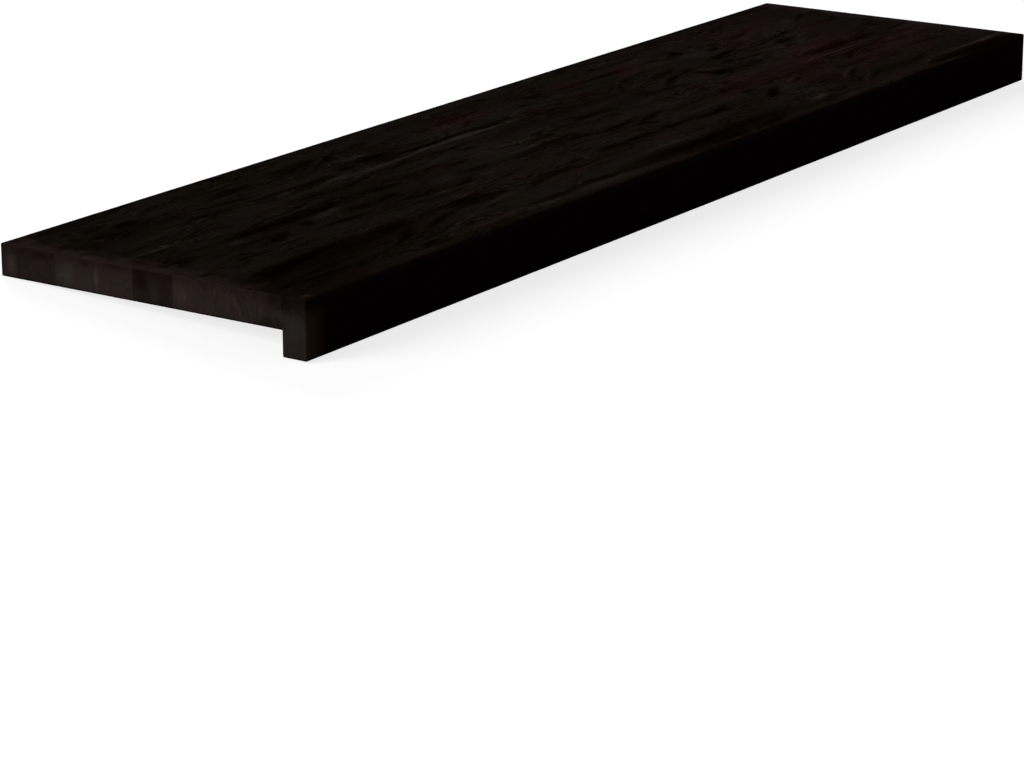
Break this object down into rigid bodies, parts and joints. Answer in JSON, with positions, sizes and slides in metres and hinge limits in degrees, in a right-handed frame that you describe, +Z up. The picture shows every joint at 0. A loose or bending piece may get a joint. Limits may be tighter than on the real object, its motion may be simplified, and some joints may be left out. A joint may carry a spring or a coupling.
{
  "type": "stair tread",
  "caption": "Straight stair tread of dark stained wood, a board glued up from full-length staves with a square drop nosing along its front edge.",
  "frame": {"origin": "on the floor under the middle of the tread, as it rests unheld on its nosing and its rear edge", "axes": "+X along the tread's length to the right-hand end seen from the front, +Y from the nosing back to the rear edge, +Z up; the top slopes back by 4.34 degrees, as it does with nothing under the board"},
  "size_m": [1.2, 0.3026, 0.0494],
  "materials": {
    "stave_wood": "near-black brown stain, oiled matte, open grain",
    "nosing_wood": "near-black brown stain, oiled matte, open grain"
  },
  "bodies": {
    "root": {"stave_1": "stave_wood", "stave_2": "stave_wood", "stave_3": "stave_wood", "stave_4": "stave_wood", "stave_5": "stave_wood", "stave_6": "stave_wood", "stave_7": "stave_wood", "stave_8": "stave_wood", "nosing_strip": "nosing_wood"}
  },
  "joints": []
}
